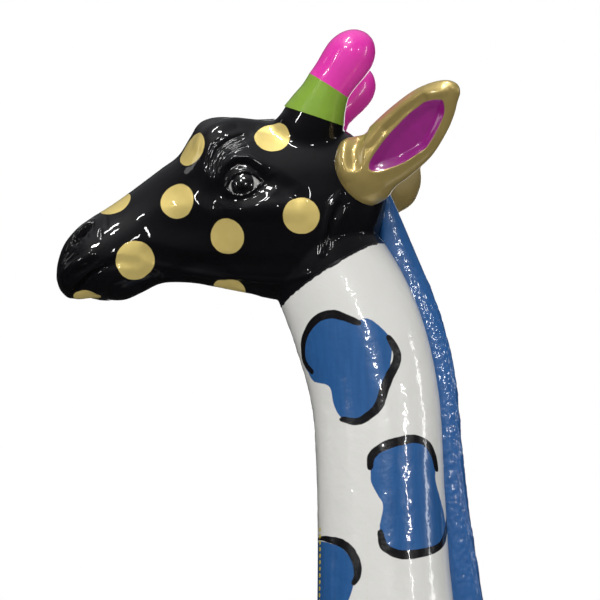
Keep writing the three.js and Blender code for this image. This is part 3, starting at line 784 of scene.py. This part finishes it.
def horn(side, green):
    """A horn down to where its paint starts, with its green up to `green` from the foot."""
    foot, way, front = horn_axis(side)
    bm = bmesh.new()
    loft(bm, horn_rings(side, HORN), 56)
    at_front = foot + way * (HORN_EDGE[0] * MM) + front * (35 * MM)
    at_back = foot + way * (HORN_EDGE[1] * MM) - front * (30 * MM)
    edge = (at_front - at_back).cross(way.cross(front)).normalized()
    edge = -edge if edge.dot(way) > 0 else edge
    mesh = cut(mesh_of(bm), [(at_front, edge)])
    up_the_horn = (points_of(mesh) - np.array(foot)) @ np.array(way) / MM
    paint(mesh, "green", up_the_horn - green)
    return mesh


EAR_ROOT = (345, 14, 46)
EAR_POSES = {"left": (-1, 54, 30, (0, -1, -0.1)), "right": (1, 30, 30, (-0.25, 1, -0.1))}
# Folds where an ear rolls into its root: [half width, lift, line], drawn as (from root, across).
EAR_FOLDS = [
    [13, -5.0, [(33, -34), (22, -22), (13, -8)]],
    [12, 2.5, [(12, -34), (2, -22), (-3, -4)]],
    [9, 2.5, [(36, -16), (60, -20), (90, -19), (118, -13), (134, -2)]],
    [7, -2.5, [(60, -12), (90, -13), (114, -10)]],
]


def ear(side, back, lift, facing):
    """An ear that points `back` and `lift` degrees back and up, with its hollow facing `facing`."""
    back, lift = math.radians(back), math.radians(lift)
    way = Vector((math.cos(lift) * math.sin(back), side * math.cos(lift) * math.cos(back), math.sin(lift)))
    face = Vector(facing)
    face = (face - way * way.dot(face)).normalized()
    across = way.cross(face) * -side
    root = on_head(EAR_ROOT[0], EAR_ROOT[1], EAR_ROOT[2] * -side)
    rings = []
    for at, shift, wide, thick in smooth_rows(EAR, 5):
        rings.append((root + (way * at + across * shift) * MM, way, face, thick * MM, wide * MM, 0))
    bm = bmesh.new()
    loft(bm, rings)
    mesh = one_skin(bm, 1.4, 7)
    points, normals = skin_of(mesh)
    local = points - np.array(root)
    seen = np.column_stack([local @ np.array(way), local @ np.array(across)]) / MM
    front = normals @ np.array(face) > -0.15
    for width, rise, line in EAR_FOLDS:
        distance, _ = line_distance(seen, line)
        facing_us = ramp(normals @ np.array(face), -0.3, 0.5)
        points += normals * (swell(distance, width) * rise * MM * facing_us)[:, None]
    edge = np.where(front, outline_distance(seen, closed_line(EAR_LINING)), FAR)
    depth = 7 * ramp(-edge, -2, 11) + 1.6 * ramp(-edge, -0.6, 0.8)
    points -= np.array(face) * (depth * MM)[:, None]
    set_points(mesh, points)
    paint(mesh, "lining", edge)
    return mesh


for name, (side, *pose) in EAR_POSES.items():
    piece(f"horn_{name}", horn(side, GREEN_BAND[name]), PINK, "pink_lacquer", f"ossicone_{name}")
    piece(f"ear_{name}_leaf", ear(side, *pose), GOLD_LINED, "gold_lacquer", f"ear_{name}")


# ---- neck, trunk and legs

def body_skin():
    bm = bmesh.new()
    loft(bm, stations(NECK, 8))
    loft(bm, stations(TRUNK, 6, BACKWARDS), 64)
    for y in (-LEG_SPREAD, LEG_SPREAD):
        loft(bm, stations(FRONT_LEG[::-1], 6, UPRIGHT, y), 40)
        loft(bm, stations(HIND_LEG[::-1], 6, UPRIGHT, y), 40)
    loft(bm, skull_rings(3))
    return one_skin(bm, 5, 5)


# Blue patches. Each is drawn on a flat sheet held against the statue: where the sheet's middle is,
# which way it faces, and the outline and the black brush strokes on it.
SIDE_SHEET = (place(0, 0), LEFTWARDS)
# This patch is folded round the front of the neck.
WRAPPED = [
    (-112, 1826), (-84, 1824), (-70, 1823), (-59, 1819), (-47, 1813), (-38, 1801), (-34, 1785),
    (-37, 1769), (-43, 1754), (-52, 1734), (-64, 1722), (-84, 1717), (-112, 1720),
]
WRAPPED_STROKE = [
    (-100, 1829), (-84, 1829), (-70, 1828), (-59, 1824), (-47, 1819), (-38, 1811), (-31, 1798),
    (-30, 1785), (-34, 1776),
]
PATCHES = [
    (
        *SIDE_SHEET,
        [(-28, 2057), (-18, 2059), (-8, 2053), (2, 2043), (7, 2032), (5, 2010), (0, 1985),
         (-7, 1965), (-18, 1955), (-29, 1950), (-45, 1954), (-53, 1969), (-56, 1985), (-61, 1992),
         (-75, 1998), (-81, 2009), (-86, 2020), (-86, 2040), (-74, 2057), (-53, 2062), (-40, 2060)],
        [[(-27, 2055), (-43, 2062), (-57, 2066), (-73, 2062), (-84, 2050), (-88, 2038), (-87, 2021),
          (-78, 2007)],
         [(5, 2040), (10, 2032), (14, 2021), (12, 2010), (4, 1994), (-1, 1980), (-6, 1965),
          (-17, 1954), (-30, 1948), (-46, 1952)]],
    ),
    (
        *SIDE_SHEET,
        [(-14, 1906), (-1, 1917), (17, 1922), (32, 1925), (46, 1920), (52, 1906), (52, 1887),
         (57, 1868), (61, 1852), (62, 1833), (51, 1816), (30, 1810), (9, 1809), (-2, 1819),
         (-5, 1834), (-2, 1849), (-2, 1860), (-9, 1873), (-15, 1887)],
        [[(-16, 1898), (-14, 1911), (-1, 1921), (17, 1927), (32, 1930), (45, 1926), (52, 1914),
          (55, 1899)],
         [(-6, 1829), (-2, 1814), (9, 1807), (21, 1805), (38, 1808), (53, 1814), (61, 1823),
          (65, 1840), (66, 1855)]],
    ),
    (*SIDE_SHEET, WRAPPED, [WRAPPED_STROKE]),
    (place(0, 0), -LEFTWARDS, [(-x, z) for x, z in WRAPPED], [[(-x, z) for x, z in WRAPPED_STROKE]]),
]
PATCH_OVERLAP = 1.4  # how far the blue runs on under the strokes
# Where the other patches go: (x, z, y, width, height). y only says which side they are on.
MORE_PATCHES = [
    # neck: right side, then both sides and the front further down
    (-30, 2020, 60, 84, 96), (20, 1886, 60, 78, 100), (32, 1772, 60, 60, 84),
    (40, 1694, -60, 76, 92), (-40, 1640, -60, 66, 84), (72, 1588, -80, 90, 92),
    (2, 1516, -90, 92, 104), (30, 1668, 60, 84, 104), (-46, 1590, 70, 60, 88),
    (100, 1560, 80, 68, 76), (10, 1500, 90, 96, 100), (120, 1470, -90, 96, 84),
    (112, 1446, 90, 92, 90), (-78, 1486, 0, 64, 88),
    # trunk, left
    (-36, 1362, -100, 108, 96), (84, 1342, -120, 128, 112), (-30, 1220, -100, 92, 132),
    (98, 1196, -150, 130, 124), (224, 1300, -150, 128, 116), (236, 1148, -166, 124, 132),
    (366, 1262, -150, 134, 112), (392, 1110, -166, 136, 120), (518, 1212, -150, 126, 112),
    (556, 1076, -150, 112, 126), (654, 1168, -110, 88, 108), (112, 1040, -140, 104, 92),
    (290, 1010, -110, 112, 72),
    # trunk, right
    (-48, 1320, 100, 88, 104), (74, 1344, 120, 108, 88), (-10, 1188, 110, 112, 118),
    (132, 1226, 150, 128, 132), (270, 1330, 140, 132, 92), (208, 1096, 166, 128, 112),
    (340, 1198, 160, 132, 122), (474, 1282, 130, 118, 92), (468, 1096, 166, 124, 124),
    (604, 1196, 140, 112, 120), (640, 1066, 120, 90, 100), (76, 1040, 130, 98, 92),
    (330, 1000, 110, 104, 70),
    # back, chest, belly and rump
    (150, 1418, 0, 96, 96), (300, 1384, 0, 104, 96), (430, 1350, 0, 108, 92),
    (560, 1300, 0, 108, 92), (728, 1120, 0, 104, 112), (-92, 1160, 0, 96, 124),
    (210, 922, 0, 128, 96), (420, 946, 0, 120, 96),
    # legs
    (30, 960, -142, 78, 92), (66, 830, -130, 50, 72), (26, 720, -122, 44, 64),
    (62, 600, -120, 42, 50), (22, 458, -117, 36, 48), (58, 330, -113, 32, 44),
    (30, 214, -113, 32, 40), (62, 950, 142, 72, 84), (24, 838, 130, 48, 68), (58, 716, 122, 44, 60),
    (24, 612, 120, 40, 52), (52, 452, 117, 36, 46), (28, 338, 113, 32, 44), (56, 206, 113, 32, 40),
    (10, 800, -92, 40, 60), (10, 640, 92, 38, 52), (574, 944, -146, 84, 96),
    (634, 860, -132, 56, 74), (590, 740, -126, 50, 64), (650, 640, -122, 42, 56),
    (612, 470, -116, 36, 48), (636, 340, -113, 32, 44), (602, 214, -113, 32, 40),
    (628, 960, 146, 84, 92), (568, 850, 132, 52, 70), (632, 730, 126, 46, 60),
    (610, 600, 122, 44, 54), (644, 462, 116, 34, 48), (608, 330, 113, 32, 44),
    (630, 208, 113, 32, 40), (648, 780, -92, 46, 66), (660, 560, 92, 40, 52),
]


def hand_drawn(width, height, hand):
    """A rounded, uneven outline, and two brush strokes that follow parts of it."""
    corners, gap = 28, 2.5
    lobes = [(hand.uniform(0.05, 0.13), hand.uniform(0, math.tau)) for _ in range(3)]
    outline, outer = [], []
    for i in range(corners):
        angle = math.tau * i / corners
        reach = 1 + sum(size * math.sin((k + 2) * angle + start) for k, (size, start) in enumerate(lobes))
        spot = np.array([math.cos(angle) * width / 2, math.sin(angle) * height / 2]) * reach
        outline.append(spot)
        outer.append(spot * (1 + gap / np.linalg.norm(spot)))
    first = hand.randrange(corners)
    strokes = []
    for start, count in ((first, hand.randint(8, 11)), (first + corners // 2, hand.randint(6, 9))):
        strokes.append([outer[(start + k) % corners] for k in range(count)])
    return outline, strokes


def all_patches(tree):
    hand = random.Random(11)
    drawn = [(spot, facing, outline, strokes, 5.0) for spot, facing, outline, strokes in PATCHES]
    for x, z, y, width, height in MORE_PATCHES:
        spot, facing, _, _ = tree.find_nearest(place(x, z, y))
        brush = 4.1 if width > 70 else 3.4 if width > 45 else 2.6
        drawn.append((spot, facing, *hand_drawn(width, height, hand), brush))
    return drawn


def paint_patches(mesh, drawn):
    points, normals = skin_of(mesh)
    patches, outlines = np.full(len(points), FAR), np.full(len(points), FAR)
    for spot, facing, outline, strokes, brush in drawn:
        across = UPRIGHT.cross(facing).normalized() if abs(facing.z) < 0.9 else BACKWARDS
        up = across.cross(facing)
        up = up if up.z >= 0 else -up
        sheet = (points - np.array(spot)) / MM
        flat = np.column_stack([sheet @ np.array(across), sheet @ np.array(up)])
        outline = closed_line(outline, 4)
        low, high = outline.min(0) - 14, outline.max(0) + 14
        depth = np.abs(sheet @ np.array(facing))
        # The sheets that cover a whole side lie on the floor's origin and reach further in.
        depth_allowed = 75 if spot.z > 0.5 else 400
        near = (
            (flat > low).all(1) & (flat < high).all(1)
            & (normals @ np.array(facing) > 0.02) & (depth < depth_allowed)
        )
        if not near.any():
            continue
        patches[near] = np.minimum(patches[near], outline_distance(flat[near], outline))
        for stroke in strokes:
            line = smooth_rows([list(p) for p in stroke], 4)
            distance, along = line_distance(flat[near], line)
            thick = brush * (0.6 + 0.4 * np.sin(math.pi * np.clip(along, 0, 1)) ** 0.5)
            # Where the body curves away from the sheet, the stroke keeps its width.
            turned = np.clip(normals[near] @ np.array(facing), 0.35, 1)
            outlines[near] = np.minimum(outlines[near], distance / turned - thick)
    paint(mesh, "patches", patches - PATCH_OVERLAP)
    paint(mesh, "outlines", outlines)
    return mesh


body = body_skin()
drawn = all_patches(surface(body))
above_floor = (place(0, HOOF_TOP), -UPRIGHT)
top_at, top_way = joint_plane(HEAD_JOINT, False)
foot_at, foot_way = joint_plane(NECK_JOINT, True)
spare = 0.03
with_spare = [(top_at + HEAD_UP * spare, top_way), (foot_at - UPRIGHT * spare, foot_way)]
rough_neck = cut(body, with_spare, closed=False)
neck = paint_patches(cut(finer(rough_neck), [(top_at, top_way), (foot_at, foot_way)]), drawn)
points = points_of(neck)
paint(neck, "collar", 3.2 - (np.array(top_at) - points) @ np.array(top_way) / MM)
beads = (points[:, 1] - place(0, 0, -15).y) / MM
level = points[:, 2] / MM
beads_end, beads_start = 1420, 1842
in_front = (points[:, 0] < place(-20, 0).x) & (level < beads_start) & (level > beads_end)
paint(neck, "beads", np.where(in_front, beads, FAR))
piece("neck", neck, WHITE_COLLARED, "white_lacquer", "neck_shell_left", "neck_shell_right")
trunk = cut(body, [joint_plane(NECK_JOINT, False), (place(0, LEG_JOINT), -UPRIGHT)])
piece("trunk", paint_patches(trunk, drawn), WHITE, "white_lacquer", "trunk_shell_left", "trunk_shell_right")
between = place(330, 0)
legs = paint_patches(cut(body, [(place(0, LEG_JOINT), UPRIGHT), above_floor]), drawn)
for name, front_or_back in (("front", BACKWARDS), ("hind", -BACKWARDS)):
    for side_name, side_way in (("left", -LEFTWARDS), ("right", LEFTWARDS)):
        bm = bmesh.new()
        bm.from_mesh(legs)
        strays = [
            v for v in bm.verts if (v.co - between).dot(front_or_back) > 0 or v.co.dot(side_way) > 0
        ]
        bmesh.ops.delete(bm, geom=strays, context="VERTS")
        shell = f"{name}_leg_shell_{side_name}"
        piece(f"{name}_leg_{side_name}", mesh_of(bm), WHITE, "white_lacquer", shell)


# ---- mane, tail and hooves

def hair(along, height, across):
    """Modelled hair as a height from 0 to 1: locks 15 mm apart that slant up and outwards, with
    strands 8 mm apart over them."""
    slant = along + 1.5 * height - 1.5 * across
    wander = 0.5 * np.sin(along / 31 + height / 11) + 0.3 * np.sin(along / 13 - height / 7 + across / 5)
    lock = np.abs(np.sin(math.pi * (slant / 15 + wander)))
    strand = np.abs(np.sin(math.pi * (slant / 8 - 1.6 * wander)))
    breaks = 0.55 + 0.45 * np.sin(along / 9 - 1.3 * height + 2.2 * np.sin(along / 23))
    return (0.65 * lock + 0.35 * strand) * breaks


def mane():
    """A strip that stands up along the back of the neck, with hair modelled in it."""
    rows = np.array(smooth_rows(MANE_RIDGE, 24))
    lengths = np.concatenate([[0], np.cumsum(np.linalg.norm(np.diff(rows[:, :2], axis=0), axis=1))])
    even = np.linspace(0, lengths[-1], 300)
    rows = np.column_stack([np.interp(even, lengths, column) for column in rows.T])
    edges = [place(row[0], row[1]) for row in rows]
    rings = []
    for i, (row, edge) in enumerate(zip(rows, edges)):
        way = (edges[min(i + 1, len(rows) - 1)] - edges[max(i - 1, 0)]).normalized()
        out = Vector((-way.z, 0, way.x))
        half = max(row[2] + 9, 3) / 2
        rings.append((edge - out * (half * MM), way, out, half * MM, 12.3 * MM, 0))
    bm = bmesh.new()
    loft(bm, rings, 32, boxy=0.62)
    mesh = finer(mesh_of(bm))
    points, normals = skin_of(mesh)
    coarse = edges[::6]
    _, share = line_distance(points, coarse)
    nearest = np.clip(np.round(share * (len(coarse) - 1) * 6).astype(int), 0, len(rows) - 1)
    outs = np.array([ring[2] for ring in rings])
    height = np.einsum("ij,ij->i", points - np.array(edges)[nearest], outs[nearest]) / MM
    relief = hair(share * lengths[-1], height, np.abs(points[:, 1]) / MM) - 0.5
    points += normals * (relief * MM * ramp(share, 0.05, 0.2))[:, None]
    set_points(mesh, points)
    return mesh


piece("mane_strip", mane(), BLUE, "blue_lacquer", "mane")


def tail_piece(rows, grooves, around=40):
    """A length of the tail, with `grooves` between its locks of hair."""
    bm = bmesh.new()
    loft(bm, stations(rows, 14), around)
    mesh = mesh_of(bm)
    if grooves:
        points, normals = skin_of(mesh)
        turn = np.arange(len(points)) % around / around * math.tau
        down = points[:, 2] / MM
        relief = np.abs(np.sin(grooves * turn / 2 + down / 40))
        relief += 0.5 * np.abs(np.sin(grooves * turn + down / 23))
        points += normals * ((relief - 0.8) * 2.0 * MM)[:, None]
        set_points(mesh, points)
    return mesh


tail = tail_piece(TAIL, 0)
piece("tail_rope", paint_patches(tail, []), WHITE, "white_lacquer", "tail")
piece("tail_hair", tail_piece(TUFT, 9, 72), BLUE, "blue_lacquer", "tail_tuft")


def hoof(x, y):
    """A hoof, split between its two toes and less deeply between its heels."""
    rows = [[x + forward, z, half, side] for forward, z, half, side in HOOF][::-1]
    bm = bmesh.new()
    loft(bm, stations(rows, 8, UPRIGHT, y), 40)
    mesh = one_skin(bm, 1.8, 3)
    points, normals = skin_of(mesh)
    back, across, height = ((points - np.array(place(x, 0, y))) / MM).T
    rise = ramp(HOOF_TOP - height, 4, 20)
    for chosen, width, depth in ((back < -8, 5.5, 11), (back > 22, 5, -4)):
        points[:, 0] += swell(across, width) * chosen * rise * depth * MM
    rings_apart = 9
    rings = 0.35 * np.sin(height * math.tau / rings_apart) * (height > 1.5) * ramp(58 - height, 0, 8)
    points += normals * (rings * MM)[:, None]
    points[:, 2] = np.clip(points[:, 2], 0.0, HOOF_TOP * MM)
    set_points(mesh, points)
    return mesh


for name, x in (("front", 32), ("hind", 600)):
    for side_name, y in (("left", -LEG_SPREAD), ("right", LEG_SPREAD)):
        piece(f"{name}_hoof_{side_name}_toes", hoof(x, y), GOLD, "gold_lacquer", f"{name}_hoof_{side_name}")

# The steel frame, the bonding sleeves and the plywood discs keep their CAD shapes.
for name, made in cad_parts.items():
    finish = LAMINATE if "sleeve" in name else PLYWOOD if "bulkhead" in name else STEEL
    for holder in made.material_slots:
        holder.material = finish


# ---- floor and light

bm = bmesh.new()
bmesh.ops.create_grid(bm, x_segments=2, y_segments=2, size=14)
floor_mesh = mesh_of(bm)
floor_material, tree, shader = new_material("pale_painted_floor")
paints, _ = mottled(tree, "#f0f0ee", "#f6f6f5", 400)
connect(tree, shader, {"Base Color": paints, "Roughness": 0.7})
floor_mesh.materials.append(floor_material)
floor = put("floor", floor_mesh)
floor.visible_glossy = False

# A white room that is brighter overhead. The camera sees it plain white.
world = bpy.data.worlds.new("studio")
bpy.context.scene.world = world
world.use_nodes = True
tree = world.node_tree
tree.nodes.clear()
seen = node(tree, "Background", {"Color": colour("#ffffff"), "Strength": 1.0})
way = node(tree, "SeparateXYZ", {0: node(tree, "TexCoord").outputs["Generated"]}).outputs["Z"]
limits = {"Value": way, "From Min": 0.45, "From Max": 1.0, "To Min": 0.02, "To Max": 0.4}
height = node(tree, "MapRange", limits).outputs[0]
room = node(tree, "Background", {"Color": colour("#eef1f6"), "Strength": height})
path = node(tree, "LightPath").outputs["Is Camera Ray"]
both = node(tree, "MixShader", {0: path, 1: room.outputs[0], 2: seen.outputs[0]})
node(tree, "OutputWorld", {"Surface": both.outputs[0]})

# Softboxes and lamps, all aimed at the head and neck: (name, place, width, height, watts, and
# whether the gloss shows it). The large fills only light the paint.
aim_at = place(-40, 1950)
for name, spot, wide, tall, watts, shows in (
    ("fill_front", place(-600, 2600, -4200), 3.0, 3.0, 37, False),
    ("fill_low", place(-1800, 900, -3000), 2.4, 1.6, 9, False),
    ("overhead", place(0, 4500, -700), 3.6, 2.4, 17, False),
    ("left_wall", place(-3800, 3500, -500), 0.5, 1.8, 6, True),
    ("right_wall", place(3600, 2700, -1200), 0.3, 2.0, 12, True),
    ("behind", place(200, 3200, 3400), 2.4, 1.6, 20, True),
    ("strip_high", place(-900, 3700, -2600), 0.12, 0.36, 11, True),
    ("strip_left", place(-2100, 3000, -2500), 0.08, 0.5, 8, True),
    ("strip_right", place(2300, 2800, -3200), 0.04, 0.35, 5, True),
    ("strip_top", place(-700, 4500, -1400), 0.14, 0.8, 22, True),
    ("lamp", place(300, 2900, -3200), 0.12, 0.3, 5, True),
    ("strip_wide", place(-300, 4200, -2200), 0.5, 0.1, 12, True),
    ("fill_right", place(3400, 2200, -1500), 2.0, 2.0, 16, False),
    ("fill_back", place(1800, 2300, 3400), 2.4, 2.4, 30, False),
):
    lamp = bpy.data.lights.new(name, "AREA")
    lamp.shape, lamp.size, lamp.size_y, lamp.energy = "RECTANGLE", wide, tall, watts
    holder = put(name, lamp)
    holder.location = spot
    holder.rotation_euler = (aim_at - spot).to_track_quat("-Z", "Y").to_euler()
    holder.visible_glossy = shows

# Daylight from a roof window far above lights the floor evenly.
sun = bpy.data.lights.new("roof_window", "SUN")
sun.energy, sun.angle = 1.1, math.radians(60)
window = put("roof_window", sun)
window.location = place(0, 6000)
window.visible_glossy = False
